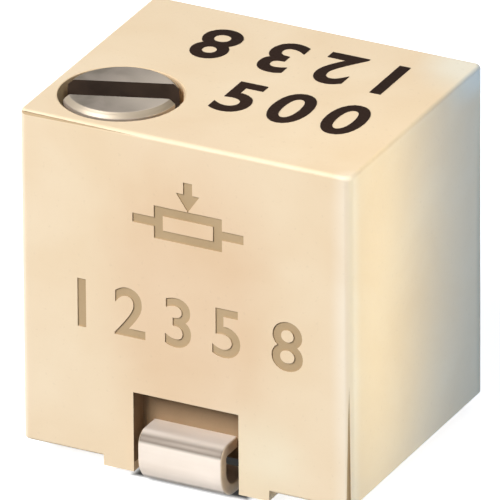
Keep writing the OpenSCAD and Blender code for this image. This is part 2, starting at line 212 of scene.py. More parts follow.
# %% Lamps
def lamp(name, place, target, wide, tall, power, colour, spread=180):
    """A soft lamp in millimetres that faces a point; it lights the part but isn't seen itself."""
    light = bpy.data.lights.new(name, "AREA")
    light.spread = math.radians(spread)
    light.shape = "RECTANGLE"
    light.size = wide * MM
    light.size_y = tall * MM
    light.energy = power
    light.color = colour
    holder = add_object(name, light)
    holder.visible_camera = False
    aim = Vector(target) - Vector(place)
    turn = aim.to_track_quat("-Z", "Y").to_matrix().to_4x4()
    holder.matrix_world = Matrix.Translation(Vector(place) * MM) @ turn
    print("lamp", name, power, "W")


lamp("key", place=(-44, -90, 88), target=(0, 0, 1.5), wide=68, tall=68,
     power=0.235, colour=(0.955, 0.975, 1.0))
lamp("overhead", place=(12, 6, 34), target=(0, 0, 1), wide=26, tall=26,
     power=0.0014, colour=(1.0, 1.0, 1.0))
lamp("cool_side", place=(18, 7, 2.2), target=(1.85, 0, 2.0), wide=12, tall=3.2,
     power=0.0017, colour=(0.19, 0.45, 0.88))
lamp("warm_corner", place=(4.05, -0.95, 2.9), target=(1.85, -0.95, 2.9), wide=0.8, tall=6.4,
     power=0.000039, colour=(1.0, 0.85, 0.44), spread=116)

# %% [markdown]
# Materials. Every pattern is procedural and read from Object coordinates, in metres, so a grain
# of 0.03 mm needs a scale of some 30,000. The class holds one material. Each of its methods adds
# a node or two and gives back a socket, so that a finish can be written down like a recipe.

# %% Colours and the helper for a finish
MIX_SHARE, MIX_FIRST, MIX_SECOND, MIX_COLOUR_OUT = 0, 6, 7, 2
NOISE_LOW, NOISE_HIGH = 0.3, 0.7


def srgb(red, green, blue):
    """A colour given as on a screen, 0 to 255, made linear for the shader."""
    def linear(c):
        c /= 255
        return c / 12.92 if c <= 0.04045 else ((c + 0.055) / 1.055) ** 2.4
    return (linear(red), linear(green), linear(blue), 1)


class Finish:
    """One material and the few nodes it is built from."""

    def __init__(self, name, roughness, metallic=0.0):
        self.material = bpy.data.materials.new(name)
        self.material.use_nodes = True
        self.tree = self.material.node_tree
        self.shader = self.tree.nodes["Principled BSDF"]
        self.shader.inputs["Roughness"].default_value = roughness
        self.shader.inputs["Metallic"].default_value = metallic
        self.place = self.node("ShaderNodeTexCoord")["Object"]

    def node(self, kind, inputs=None, **settings):
        return add_node(self.tree, kind, inputs, **settings)

    def noise(self, size_mm, detail, stretch=(1, 1, 1), distortion=0.0):
        """Noise whose patches are about size_mm across; stretch lengthens them along an axis."""
        place = self.node("ShaderNodeMapping", {
            "Vector": self.place, "Scale": [1 / s for s in stretch]})["Vector"]
        return self.node("ShaderNodeTexNoise", {
            "Vector": place, "Scale": 1 / (size_mm * MM), "Detail": detail,
            "Distortion": distortion})["Fac"]

    def ramp(self, value, stops):
        """Two colours over a value. Each of the two stops is (position, colour)."""
        made = self.tree.nodes.new("ShaderNodeValToRGB")
        for element, (position, colour) in zip(made.color_ramp.elements, stops):
            element.position, element.color = position, colour
        self.tree.links.new(value, made.inputs["Fac"])
        return made.outputs["Color"]

    def mix(self, share, first, second, blend="MIX"):
        """Blends two colours; each of the three is a value or a socket."""
        return self.node("ShaderNodeMix", {
            MIX_SHARE: share, MIX_FIRST: first, MIX_SECOND: second},
            data_type="RGBA", blend_type=blend)[MIX_COLOUR_OUT]

    def attribute(self, name):
        """A value that the mesh carries on its faces, 0 where it has none."""
        return self.node("ShaderNodeAttribute", attribute_name=name)["Fac"]

    def spread(self, noise, low, high):
        """Noise, which stays near its middle, stretched to between low and high."""
        return self.node("ShaderNodeMapRange", {
            "Value": noise, "From Min": NOISE_LOW, "From Max": NOISE_HIGH,
            "To Min": low, "To Max": high})["Result"]

    def bump(self, height, depth_mm, strength):
        """A relief that is only shaded, as deep as depth_mm."""
        return self.node("ShaderNodeBump", {
            "Height": height, "Strength": strength, "Distance": depth_mm * MM})["Normal"]

    def done(self, colour, roughness, normal):
        """Joins the results to the shader and gives the material."""
        for label, socket in (("Base Color", colour), ("Roughness", roughness),
                              ("Normal", normal)):
            self.tree.links.new(socket, self.shader.inputs[label])
        return self.material


print("cream in the shader:", [round(c, 3) for c in srgb(246, 223, 190)])

# %% [markdown]
# A moulding isn't one even colour. It is duller where the plastic was injected, and paler and
# cooler low on the front. A painted highlight lies along the front right edge and at the top back
# corner, and painted shade along the rear right edge. Each such tint is an oval area round a
# point. Noise added to the distance gives the area a ragged border, so that it doesn't look
# sprayed on.

# %% Tinted areas
FADE_START = 0.3  # the tint is full up to here, as a share of its reach
RAGGED_MM = 0.8


def area_round(finish, centre_mm, reach_mm, ragged):
    """1 at a point and 0 beyond a reach along each axis. The border is even where ragged is 0."""
    scaled = finish.node("ShaderNodeMapping", {
        "Vector": finish.place, "Location": [-c / r for c, r in zip(centre_mm, reach_mm)],
        "Scale": [1 / (r * MM) for r in reach_mm]})["Vector"]
    away = finish.node("ShaderNodeVectorMath", {0: scaled}, operation="LENGTH")["Value"]
    uneven = calculate(finish.tree, "MULTIPLY_ADD", finish.noise(RAGGED_MM, 2), ragged, away)
    return finish.node("ShaderNodeMapRange", {
        "Value": uneven, "From Min": FADE_START + ragged / 2, "From Max": 1.0 + ragged / 2,
        "To Min": 1.0, "To Max": 0.0}, interpolation_type="SMOOTHSTEP")["Result"]


gate_tint = ((0.05, -1.5, 2.1), (1.35, 2.0, 2.4), 0.35, (0.93, 0.86, 0.82))
# A painted highlight along the front right upright edge.
front_edge_painted_highlight = ((1.85, -1.5, 2.4), (0.26, 0.26, 5.0), 0.0, (1.06, 1.13, 1.26))
low_front_tint = ((0.75, -1.5, 0.55), (0.75, 0.5, 0.7), 0.35, (1.02, 1.08, 1.12))
# A painted highlight at the top back right corner.
top_corner_painted_highlight = ((1.85, 1.5, 3.85), (0.75, 0.95, 0.4), 0.1, (1.0, 1.16, 1.38))
# Painted shade along the rear right upright edge.
rear_edge_painted_shade = ((1.85, 1.5, 1.5), (0.3, 0.2, 2.6), 0.0, (0.72, 0.74, 0.76))
housing_tints = [gate_tint, front_edge_painted_highlight, low_front_tint, top_corner_painted_highlight, rear_edge_painted_shade]
print(len(housing_tints), "tints on the housing")

# %% [markdown]
# The cream moulding is a filled plastic: warm and satin, with a fine grain in the light, faint
# cloudy patches where the melt flowed, and here and there a darker speck of filler. All the
# plastics of the part use the same recipe with colours of their own.

# %% Moulded plastic
BLACK, WHITE = (0, 0, 0, 1), (1, 1, 1, 1)
CLOUD_MM, GRAIN_MM, SPECK_MM = 1.1, 0.035, 0.05
SPECK_SHADE = 0.82  # how dark a speck is beside the darker tone
SPECK_FAINT = 0.82  # how much of the plain colour lies over the specks
PLASTIC_SPECULAR = 0.3
EDGE_HIGHLIGHT_CREAM = srgb(255, 238, 214)


def moulded(name, base, shade, roughness=0.46, grain_depth_mm=0.0025, tints=()):
    """Satin plastic. A tint is a place, its reach, how ragged it is, and the colour that the
    plastic is multiplied by there. Tinted plastic gets a painted highlight on edges the mesh
    marks."""
    finish = Finish(name, roughness)
    finish.shader.inputs["Specular IOR Level"].default_value = PLASTIC_SPECULAR
    clouds = finish.noise(CLOUD_MM, 3, distortion=0.4)
    grain = finish.noise(GRAIN_MM, 3)
    specks = finish.ramp(finish.noise(SPECK_MM, 1), [(0.66, BLACK), (0.74, WHITE)])
    cloudy = finish.ramp(clouds, [(0.3, shade), (0.72, base)])
    speck_colour = tuple(c * SPECK_SHADE for c in shade[:3]) + (1,)
    colour = finish.mix(SPECK_FAINT, finish.mix(specks, cloudy, speck_colour), cloudy)
    for centre_mm, reach_mm, ragged, tint in tints:
        share = area_round(finish, centre_mm, reach_mm, ragged)
        colour = finish.mix(share, colour, tint + (1,), "MULTIPLY")
    if tints:
        # A painted highlight on the edges that the mesh marks.
        colour = finish.mix(finish.attribute("edge"), colour, EDGE_HIGHLIGHT_CREAM)
    return finish.done(colour, finish.spread(grain, roughness - 0.06, roughness + 0.08),
                       finish.bump(grain, grain_depth_mm, 0.5))


housing_plastic = moulded("cream_moulding", srgb(246, 223, 190), srgb(240, 213, 176),
                          tints=housing_tints)
print("housing finish:", housing_plastic.name)

# %% [markdown]
# Metals. Strip and spring sheet are rolled, which leaves fine streaks along the rolling direction
# over faint patches of tarnish. The same recipe makes solder and silver film, without a
# direction. A metal may be painted darker in bands along its bends: painted shade.

# %% Rolled metal
PATCH_MM = 0.6
STREAK_DEPTH_MM = 0.0012
BAND_FADE, SIDE_FADE_MM = 0.3, 0.03  # the full share within 0.3 of the reach


def band_along_bend(finish, height_mm, reach_mm, outside_mm):
    """1 on a line at a height and 0 beyond its reach, only where y is outside a distance."""
    apart = finish.node("ShaderNodeSeparateXYZ", {"Vector": finish.place})
    shares = []
    for axis, middle, start, end in (
            ("Z", height_mm, reach_mm, BAND_FADE * reach_mm),
            ("Y", 0, outside_mm - SIDE_FADE_MM, outside_mm + SIDE_FADE_MM)):
        away = calculate(finish.tree, "SUBTRACT", apart[axis], middle * MM)
        shares.append(finish.node("ShaderNodeMapRange", {
            "Value": calculate(finish.tree, "ABSOLUTE", away), "From Min": start * MM,
            "From Max": end * MM}, interpolation_type="SMOOTHSTEP")["Result"])
    return calculate(finish.tree, "MULTIPLY", *shares)


def metal(name, base, shade, roughness, streak=(1, 1, 1), size_mm=0.12, metallic=1.0,
          bend_painted_shade=None, bends=()):
    """Rolled metal. The streaks are longer along an axis by streak; bends get painted shade."""
    finish = Finish(name, roughness, metallic)
    patches = finish.noise(PATCH_MM, 3, distortion=0.3)
    streaks = finish.noise(size_mm, 3, stretch=streak)
    colour = finish.ramp(finish.mix(0.5, patches, streaks), [(0.32, shade), (0.66, base)])
    for bend in bends:
        colour = finish.mix(band_along_bend(finish, *bend), colour, bend_painted_shade)
    return finish.done(colour, finish.spread(streaks, roughness - 0.07, roughness + 0.1),
                       finish.bump(streaks, STREAK_DEPTH_MM, 0.6))


clip_metal = metal("clip_steel", srgb(190, 190, 186), srgb(160, 160, 158), 0.3, (1, 6, 1))
wiper_metal = metal("wiper_sheet", srgb(226, 200, 146), srgb(204, 176, 120), 0.26, (1, 1, 6))
solder_metal = metal("solder", srgb(214, 214, 212), srgb(184, 184, 184), 0.28, size_mm=0.08)
silver_film = metal("silver_film", srgb(222, 222, 218), srgb(200, 200, 196), 0.5, size_mm=0.03)
print("metals:", [m.name for m in (clip_metal, wiper_metal, solder_metal, silver_film)])

# %% [markdown]
# The inner pieces keep their CAD shape, because the closed housing hides them: the rubber ring,
# the steel clip, the gear and its wiper, the ceramic plate with its printed films, the soldered
# joints, and the cover under its cast resin. They only get their finishes here.

# %% Finishes of the inner pieces
rubber = moulded("ring_rubber", srgb(40, 40, 42), srgb(28, 28, 30), 0.6, 0.001)
rotor_plastic = moulded("rotor_moulding", srgb(74, 74, 80), srgb(56, 56, 62), 0.42, 0.0015)
ceramic = moulded("fired_ceramic", srgb(244, 243, 238), srgb(236, 235, 230), 0.55, 0.003)
track_film = moulded("resistive_film", srgb(42, 38, 36), srgb(30, 27, 26), 0.32, 0.002)
cover_plastic = moulded("cover_moulding", srgb(238, 216, 182), srgb(230, 204, 166), 0.5)
resin = moulded("cast_resin", srgb(176, 148, 108), srgb(158, 130, 92), 0.3, 0.001)
inner_finishes = {
    "screw_o_ring": rubber, "screw_retainer": clip_metal, "rotor_gear": rotor_plastic,
    "wiper": wiper_metal, "ceramic_element": ceramic, "resistive_track": track_film,
    "collector_ring": silver_film, "end_pad_1": silver_film, "end_pad_3": silver_film,
    "solder_joint_1": solder_metal, "solder_joint_2": solder_metal,
    "solder_joint_3": solder_metal, "rear_cover": cover_plastic, "epoxy_seal": resin}
for inner_name, material in inner_finishes.items():
    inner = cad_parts[inner_name]
    inner.data.materials.clear()
    inner.data.materials.append(material)
print(len(inner_finishes), "inner pieces keep their CAD shape")

# %% [markdown]
# Pieces are cut from each other with the Boolean modifier, as a mould's cores leave their
# hollows. The Manifold solver keeps closed solids closed. A tool's own material stays on the
# faces it cuts, which is how a hollow gets a darker finish than the outside.

# %% Cutting and adding solids
def settle(piece):
    """Turns a piece with modifiers into a plain mesh."""
    evaluated = piece.evaluated_get(bpy.context.evaluated_depsgraph_get())
    mesh = bpy.data.meshes.new_from_object(evaluated)
    piece.modifiers.clear()
    piece.data = mesh
    return piece


def combine(piece, tools, operation="DIFFERENCE"):
    """Cuts tools out of a piece, or adds them to it, one after the other. A tool without a
    material of its own leaves the piece's material on the faces it makes."""
    for tool in tools:
        if piece.data.materials and not tool.data.materials:
            tool.data.materials.append(piece.data.materials[0])
        step = piece.modifiers.new("step", "BOOLEAN")
        step.operation = operation
        step.solver = "MANIFOLD"
        step.material_mode = "TRANSFER"
        step.object = tool
        settle(piece)
        bpy.data.objects.remove(tool)
    print(piece.name, operation.lower(), len(tools), "->", len(piece.data.polygons), "faces")
    return piece


# %% [markdown]
# The housing is one moulding, open at the back. It is drawn as a full-size block with rounded
# edges, which keeps the outer walls true to the CAD sizes. The leads carry it, and three low feet
# under it end just above the board, so that flux can be washed out of the gap.

# %% Housing block
UNDER_Z = 0.18
SIDE_R, TOP_R, UNDER_R = 0.08, 0.045, 0.03
SIDE_STEPS, RIM_STEPS = 6, 4
FOOT_L, FOOT_IN_X, FOOT_OUT_X, REAR_FOOT_X = 0.6, 0.59, 0.93, 0.35
FOOT_SINK = 0.04  # how far the feet start inside the block


def box_mm(cad_node):
    """Lowest and highest corner of a CAD node, in millimetres."""
    low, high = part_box(cad_node)
    return Vector(low) / MM, Vector(high) / MM


def micron(value):
    """A size from a CAD box, rounded to a micrometre."""
    return round(value, 3)


def rounded_block(name, low, high):
    """A box whose upright edges, top edges and bottom edges are rounded."""
    piece = block(name, low, high)
    shape = bmesh.new()
    shape.from_mesh(piece.data)

    def round_edges(chosen, radius, segments):
        bmesh.ops.bevel(shape, geom=chosen, offset=radius, segments=segments, profile=0.5,
                        affect="EDGES", clamp_overlap=True)

    upright = [e for e in shape.edges if abs(e.verts[0].co.z - e.verts[1].co.z) > 0.5]
    round_edges(upright, SIDE_R, SIDE_STEPS)
    for z, radius in ((high[2], TOP_R), (low[2], UNDER_R)):
        rim = [e for e in shape.edges if all(abs(v.co.z - z) < 1e-5 for v in e.verts)
               and len(e.link_faces) == 2 and any(abs(f.normal.z) < 0.5 for f in e.link_faces)]
        round_edges(rim, radius, RIM_STEPS)
    shape.to_mesh(piece.data)
    shape.free()
    return piece


body_low, body_high = box_mm("housing")
front, back = micron(body_low.y), micron(body_high.y)
housing = rounded_block("housing_shell", (body_low.x, body_low.y, UNDER_Z), body_high)
housing.data.materials.append(housing_plastic)
feet = [block("foot", (x0, y0, body_low.z), (x1, y1, UNDER_Z + FOOT_SINK)) for x0, x1, y0, y1 in (
    (-FOOT_OUT_X, -FOOT_IN_X, front, front + FOOT_L),
    (FOOT_IN_X, FOOT_OUT_X, front, front + FOOT_L),
    (-REAR_FOOT_X, REAR_FOOT_X, back - FOOT_L, back))]
combine(housing, feet, "UNION")
print("housing block", [round(v, 3) for v in housing.dimensions])

# %% [markdown]
# Round hollows. The stepped hole takes the screw: a wide bore for the head and its sealing ring,
# a narrower one for the worm, and a blind bearing at the bottom. A round room behind the front
# wall takes the gear. Turned cutters have more facets than the CAD mesh, so the bore looks round
# up close.

# %% Bore and gear room
BORE_Z, WORM_Z, BLIND_Z = 2.70, 0.90, 0.60
HEAD_GAP, WORM_R, BLIND_R = 0.05, 0.57, 0.33
MOUTH, MOUTH_MIDDLE = 0.015, 0.3  # the eased mouth, and the share at its middle point
ROTOR_X, ROTOR_Z = 0.32, 1.85
ROOM_R, ROOM_Y, ROOM_LAP = 1.13, -1.06, 0.01
OUT = 1  # how far a cutter reaches beyond the part
FACETS, FINE_FACETS, POST_FACETS = 128, 160, 96


def mesh_object(name, corners, faces, edges=()):
    """An object with the given corners, and faces or loose edges between them."""
    mesh = bpy.data.meshes.new(name)
    mesh.from_pydata([tuple(c) for c in corners], edges, faces)
    mesh.validate()
    return add_object(name, mesh)


def turned(name, profile, centre, axis="Z", facets=FACETS):
    """A solid of revolution. The profile is (radius, height) from the bottom to the top."""
    corners, faces = [], []
    rings = []
    for radius, height in profile:
        if radius == 0:
            rings.append([len(corners)])
            corners.append(Vector((0, 0, height)))
        else:
            rings.append(list(range(len(corners), len(corners) + facets)))
            for i in range(facets):
                a = 2 * math.pi * i / facets
                corners.append(Vector((radius * math.cos(a), radius * math.sin(a), height)))
    for lower, upper in zip(rings, rings[1:]):
        for i in range(facets):
            j = (i + 1) % facets
            if len(lower) == 1:
                faces.append((lower[0], upper[j], upper[i]))
            elif len(upper) == 1:
                faces.append((lower[i], lower[j], upper[0]))
            else:
                faces.append((lower[i], lower[j], upper[j], upper[i]))
    turn = Matrix.Rotation(-math.pi / 2, 4, "X") if axis == "Y" else Matrix.Identity(4)
    place = Matrix.Translation(Vector(centre)) @ turn
    return mesh_object(name, [place @ c for c in corners], faces)


screw_low, screw_high = box_mm("adjusting_screw")
plate_low, plate_high = box_mm("ceramic_element")
screw_axis = Vector(((screw_low.x + screw_high.x) / 2, (screw_low.y + screw_high.y) / 2, 0))
rotor_axis = Vector((ROTOR_X, 0, ROTOR_Z))
head_r = (screw_high.x - screw_low.x) / 2
bore_r = head_r + HEAD_GAP
room_end = plate_low.y + ROOM_LAP
bore = turned("bore", [
    (0, BLIND_Z), (BLIND_R, BLIND_Z), (BLIND_R, WORM_Z), (WORM_R, WORM_Z), (WORM_R, BORE_Z),
    (bore_r, BORE_Z), (bore_r, body_high.z - MOUTH),
    (bore_r + MOUTH * MOUTH_MIDDLE, body_high.z - MOUTH * MOUTH_MIDDLE),
    (bore_r + MOUTH, body_high.z), (bore_r + MOUTH, body_high.z + OUT),
    (0, body_high.z + OUT)], screw_axis)
# The bore's wall is a little darker than the housing: painted shade in the gap round the head.
bore.data.materials.append(
    moulded("bore_wall", srgb(240, 214, 176), srgb(226, 198, 160), 0.7, 0.003))
room = turned("room", [(0, ROOM_Y), (ROOM_R, ROOM_Y), (ROOM_R, room_end), (0, room_end)],
              rotor_axis, "Y", FINE_FACETS)
combine(housing, [bore, room])

# %% [markdown]
# From the back, a square pocket takes the ceramic plate, with a low hollow before it for the pads
# and their joints, and a wider bed takes the cover and its resin. A slot leads the clip to the
# screw's neck. Where a piece fills a hollow, the size is read from that piece of the CAD model.

# %% Pocket, cover bed and clip slot
FLOOR_Z, FILM_Y, FILM_ROOM_Z = 0.48, 0, 1.32
PLATE_GAP, COVER_Y, BEYOND_BACK = 0.02, 1.05, 2

clip_low, clip_high = box_mm("screw_retainer")
cover_high = box_mm("rear_cover")[1]
pocket_x = plate_high.x + PLATE_GAP
pocket = block("pocket", (-pocket_x, plate_low.y, FLOOR_Z),
               (pocket_x, BEYOND_BACK, plate_high.z + PLATE_GAP))
film_room = block("film_room", (-pocket_x, FILM_Y, FLOOR_Z), (pocket_x, room_end, FILM_ROOM_Z))
cover_bed = block("cover_bed", (-cover_high.x, COVER_Y, FLOOR_Z),
                  (cover_high.x, BEYOND_BACK, cover_high.z))
clip_slot = block("clip_slot", clip_low, (clip_high.x, room_end, clip_high.z))
combine(housing, [pocket, film_room, cover_bed, clip_slot])

# %% [markdown]
# The leads' hollows. The big notch in the front gives the curled middle lead room to spring, and
# a channel leads its tail under the gear to the plate. The two rear leads pass through recesses
# of their own. The notch's walls are painted darker, as painted shade, since little light gets
# into it.

# %% Notch and channels for the leads
NOTCH_X, NOTCH_Z, NOTCH_Y, LOW_NOTCH_Y = 0.59, 0.97, -1.29, -0.97
LEAD_Z, STEP_Y, TAIL_HALF = 0.61, 0.99, 0.30
TAB_ROOM_Y, TAB_ROOM_Z = -0.15, 0.90
RECESS_Y, RECESS_GAP = 0.97, 0.12
BEFORE_FRONT, OUT_FRONT, OUT_BACK, OUT_BELOW = -1.6, -3, 3, -1
CUT_LAP = 0.01  # neighbouring cutters overlap by this

rear_low, rear_high = box_mm("terminal_3")
front_low, front_high = box_mm("terminal_2")
# The notch's walls get a darker colour: painted shade.
notch_painted_shade = moulded("recess", srgb(160, 132, 100), srgb(144, 116, 86), 0.7, 0.003)
notch = block("notch", (-NOTCH_X, OUT_FRONT, OUT_BELOW), (NOTCH_X, NOTCH_Y, NOTCH_Z))
low_notch = block("low_notch", (-NOTCH_X, OUT_FRONT, OUT_BELOW), (NOTCH_X, LOW_NOTCH_Y, FLOOR_Z))
for cut in (notch, low_notch):
    cut.data.materials.append(notch_painted_shade)
channel = block("channel", (front_low.x, BEFORE_FRONT, FLOOR_Z), (front_high.x, -STEP_Y, LEAD_Z))
inner_channel = block("inner_channel", (-TAIL_HALF, -STEP_Y - CUT_LAP, FLOOR_Z),
                      (TAIL_HALF, plate_low.y, LEAD_Z))
tab_room = block("tab_room", (-TAIL_HALF, TAB_ROOM_Y, FLOOR_Z),
                 (TAIL_HALF, plate_low.y, TAB_ROOM_Z))
recess_in, recess_out = micron(rear_low.x - RECESS_GAP), micron(rear_high.x + RECESS_GAP)
recesses = [block("recess", (x0, RECESS_Y, OUT_BELOW), (x1, OUT_BACK, LEAD_Z))
            for x0, x1 in ((-recess_out, -recess_in), (recess_in, recess_out))]
combine(housing, [notch, low_notch, channel, inner_channel, tab_room] + recesses)

# %% [markdown]
# The gear turns on a post that is moulded with the front wall, and a low boss round the post
# keeps the gear's face off the wall. Both start a little inside the wall, so that they join it.

# %% Post and boss for the gear
POST_R, POST_END_Y, BOSS_R, BOSS_T, POST_SINK = 0.24, -0.205, 0.45, 0.055, 0.1

post_start = ROOM_Y - POST_SINK
post = turned("post", [(0, post_start), (POST_R, post_start), (POST_R, POST_END_Y),
                       (0, POST_END_Y)], rotor_axis, "Y", POST_FACETS)
boss = turned("boss", [(0, post_start), (BOSS_R, post_start), (BOSS_R, ROOM_Y + BOSS_T),
                       (0, ROOM_Y + BOSS_T)], rotor_axis, "Y", POST_FACETS)
combine(housing, [boss, post], "UNION")

# %% [markdown]
# The screw is turned from bar and plated. Turning leaves fine rings about its axis, and the
# plating is uneven: brown-grey, and brighter over the right of the head. A thin bright line on the
# slope of its edge is a painted highlight. The slot is sawn, and its walls are painted dark as
# painted shade.

# %% Screw plating
RING_SCALE, RING_DEPTH_MM = 12000, 0.0012
TARNISH_MM = 0.35
BRIGHTER_X, BRIGHTER_Y, BRIGHTER_REACH = 0.5, 0.15, (0.85, 0.85, 5.0)  # from the axis


def turned_metal(name, axis_x_mm, axis_y_mm, top_z_mm):
    """Plated screw metal with fine turning rings about its upright axis."""
    finish = Finish(name, 0.5, metallic=0.55)
    centred = finish.node("ShaderNodeMapping", {
        "Vector": finish.place, "Location": (-axis_x_mm * MM, -axis_y_mm * MM, 0)})["Vector"]
    rings = finish.node("ShaderNodeTexWave", {
        "Vector": centred, "Scale": RING_SCALE, "Distortion": 1.2, "Detail": 2},
        wave_type="RINGS", rings_direction="Z")["Fac"]
    patches = finish.noise(TARNISH_MM, 3, distortion=0.5)
    plated = finish.ramp(patches, [(0.36, srgb(160, 148, 132)), (0.64, srgb(188, 174, 160))])
    brighter_right = area_round(finish, (axis_x_mm + BRIGHTER_X, axis_y_mm + BRIGHTER_Y, top_z_mm),
                        BRIGHTER_REACH, 0.1)
    plated = finish.mix(brighter_right, plated, srgb(232, 216, 198))
    # A painted highlight on the faces of the head's slope.
    plated = finish.mix(finish.attribute("edge"), plated, srgb(198, 182, 160))
    return finish.done(plated, finish.spread(patches, 0.42, 0.56),
                       finish.bump(rings, RING_DEPTH_MM, 0.5))


plating = turned_metal("plated_screw", screw_axis.x, screw_axis.y, micron(screw_high.z))
# The slot's walls are painted dark: painted shade inside the slot.
slot_painted_shade = metal("slot_wall", srgb(64, 46, 32), srgb(46, 32, 22), 0.7, metallic=0.1)
print("screw finishes:", plating.name, slot_painted_shade.name)

# %% [markdown]
# The adjusting screw, from the top: slotted head, groove for the sealing ring, collar, neck for
# the clip, worm core and journal. The head's edges are broken and a little soft, so that they
# catch the light. The slot stands at 20 degrees, as in the photograph.

# %% Adjusting screw
HEAD_H, BREAK, SLOPE = 0.57, 0.015, 0.055
SOFT, SOFT_IN = 0.01, 0.004  # where the soft corners of the slope start, and how deep they are
SLOT_W, SLOT_T, SLOT_TURN = 0.35, 0.36, math.radians(20)
NECK_R, NECK_H, COLLAR_Z, COLLAR_T = 0.37, 0.16, 2.91, 0.12
CORE_R, CORE_Z, JOURNAL_R = 0.305, 1.10, 0.30

head_low, head_top = screw_high.z - HEAD_H, screw_high.z
neck_low = COLLAR_Z - NECK_H
screw = turned("screw_turned", [
    (0, screw_low.z), (JOURNAL_R - BREAK, screw_low.z), (JOURNAL_R, screw_low.z + BREAK),
    (JOURNAL_R, CORE_Z), (CORE_R, CORE_Z), (CORE_R, neck_low), (NECK_R, neck_low),
    (NECK_R, COLLAR_Z), (head_r, COLLAR_Z), (head_r, COLLAR_Z + COLLAR_T),
    (NECK_R, COLLAR_Z + COLLAR_T), (NECK_R, head_low), (head_r - BREAK, head_low),
    (head_r, head_low + BREAK), (head_r, head_top - SLOPE - SOFT),
    (head_r - SOFT_IN, head_top - SLOPE + SOFT_IN),
    (head_r - SLOPE + SOFT_IN, head_top - SOFT_IN),
    (head_r - SLOPE - SOFT, head_top), (0, head_top)], screw_axis, "Z", FINE_FACETS)
slot = block("slot", (-OUT, -SLOT_W / 2, head_top - SLOT_T), (OUT, SLOT_W / 2, head_top + OUT))
slot.data.transform(Matrix.Translation(screw_axis) @ Matrix.Rotation(SLOT_TURN, 4, "Z"))
slot.data.materials.append(slot_painted_shade)
screw.data.materials.append(plating)
combine(screw, [slot])

# %% [markdown]
# Geometry Nodes draw what follows a path. A tree is built here in script: its inputs have names,
# and a modifier gets their values by socket identifier. Each tree ends by making instances real
# and setting the material, and its result is kept as a plain mesh.

# %% Geometry tree helpers
def tree_with(name, **inputs):
    """A geometry tree with the given number inputs and a material input, and its input sockets."""
    tree = bpy.data.node_groups.new(name, "GeometryNodeTree")
    tree.interface.new_socket("Geometry", in_out="INPUT", socket_type="NodeSocketGeometry")
    for label, value in inputs.items():
        kind = "NodeSocketInt" if isinstance(value, int) else "NodeSocketFloat"
        tree.interface.new_socket(label, in_out="INPUT", socket_type=kind).default_value = value
    tree.interface.new_socket("Material", in_out="INPUT", socket_type="NodeSocketMaterial")
    tree.interface.new_socket("Geometry", in_out="OUTPUT", socket_type="NodeSocketGeometry")
    return tree, tree.nodes.new("NodeGroupInput").outputs


def close_tree(tree, geometry, material):
    """Makes instances real, sets the material and joins the tree's output."""
    real = add_node(tree, "GeometryNodeRealizeInstances", {"Geometry": geometry})[0]
    done = add_node(tree, "GeometryNodeSetMaterial", {"Geometry": real, "Material": material})[0]
    tree.links.new(done, tree.nodes.new("NodeGroupOutput").inputs[0])
    print("tree", tree.name, len(tree.nodes), "nodes")


def grow(piece, tree, **values):
    """Runs a tree on a piece with the given input values and keeps the result as a plain mesh."""
    step = piece.modifiers.new("grow", "NODES")
    step.node_group = tree
    for socket in tree.interface.items_tree:
        if socket.in_out == "INPUT" and socket.name in values:
            step[socket.identifier] = values[socket.name]
    return settle(piece)


# %% [markdown]
# The worm's thread is a ridge that winds round the core. Its tree carries a sloped tooth along a
# spiral, which follows the real way a thread is cut. The tooth thins out towards both ends, as
# the tool leaves it. Blender's spiral is left-handed, so it is reversed to be right-handed.

# %% Thread tree
thread_tree, given = tree_with("thread", Turns=3.0, Pitch=0.4, Base_radius=0.25, Height=0.27,
                               Base_width=0.3, Tip_width=0.1, Start_turn=0.0, Points=48,
                               Thinning=22.0, Thinnest=0.05)
spiral = add_node(thread_tree, "GeometryNodeCurveSpiral", {
    "Resolution": given["Points"], "Rotations": given["Turns"],
    "Start Radius": given["Base_radius"], "End Radius": given["Base_radius"],
    "Height": calculate(thread_tree, "MULTIPLY", given["Turns"], given["Pitch"]),
    "Reverse": True})[0]
upright = add_node(thread_tree, "GeometryNodeSetCurveNormal", {"Curve": spiral}, mode="Z_UP")[0]
along = add_node(thread_tree, "GeometryNodeSplineParameter")["Factor"]
to_end = calculate(thread_tree, "SUBTRACT", 1.0, along)
from_end = calculate(thread_tree, "MINIMUM", along, to_end)
thinning = calculate(thread_tree, "MULTIPLY", from_end, given["Thinning"])
thinning = calculate(thread_tree, "MINIMUM", thinning, 1.0)
thinned = add_node(thread_tree, "GeometryNodeSetCurveRadius", {
    "Curve": upright,
    "Radius": calculate(thread_tree, "MAXIMUM", thinning, given["Thinnest"])})[0]
tooth = add_node(thread_tree, "GeometryNodeCurvePrimitiveQuadrilateral", {
    "Height": given["Height"], "Bottom Width": given["Base_width"],
    "Top Width": given["Tip_width"], "Offset": 0.0}, mode="TRAPEZOID")[0]
half_height = calculate(thread_tree, "MULTIPLY", given["Height"], 0.5)
outwards = add_node(thread_tree, "ShaderNodeCombineXYZ", {"X": half_height})[0]
tooth = add_node(thread_tree, "GeometryNodeTransform", {
    "Geometry": tooth, "Rotation": (0, 0, -math.pi / 2), "Translation": outwards})[0]
ridge = add_node(thread_tree, "GeometryNodeCurveToMesh", {
    "Curve": thinned, "Profile Curve": tooth, "Fill Caps": True})[0]
turn = add_node(thread_tree, "ShaderNodeCombineXYZ", {"Z": given["Start_turn"]})[0]
ridge = add_node(thread_tree, "GeometryNodeTransform", {"Geometry": ridge, "Rotation": turn})[0]
close_tree(thread_tree, ridge, given["Material"])

# %% [markdown]
# The tooth's widths at its root and tip follow from its width on the pitch line and the 20 degree
# flanks that the gear has too. The ridge starts a little inside the core, so that the two join,
# and it is turned so that it meshes with the gear as the CAD worm does.

# %% Cut the thread
TURNS, PITCH, TIP_R, HALF_AT_PITCH, PITCH_R = 88 / 24, 0.40837, 0.53, 0.0946, 0.43
FLANK_SLOPE = math.tan(math.radians(20))
ROOT_SINK = 0.05
POINTS_PER_TURN, THINNING, THINNEST = 48, 22.0, 0.05

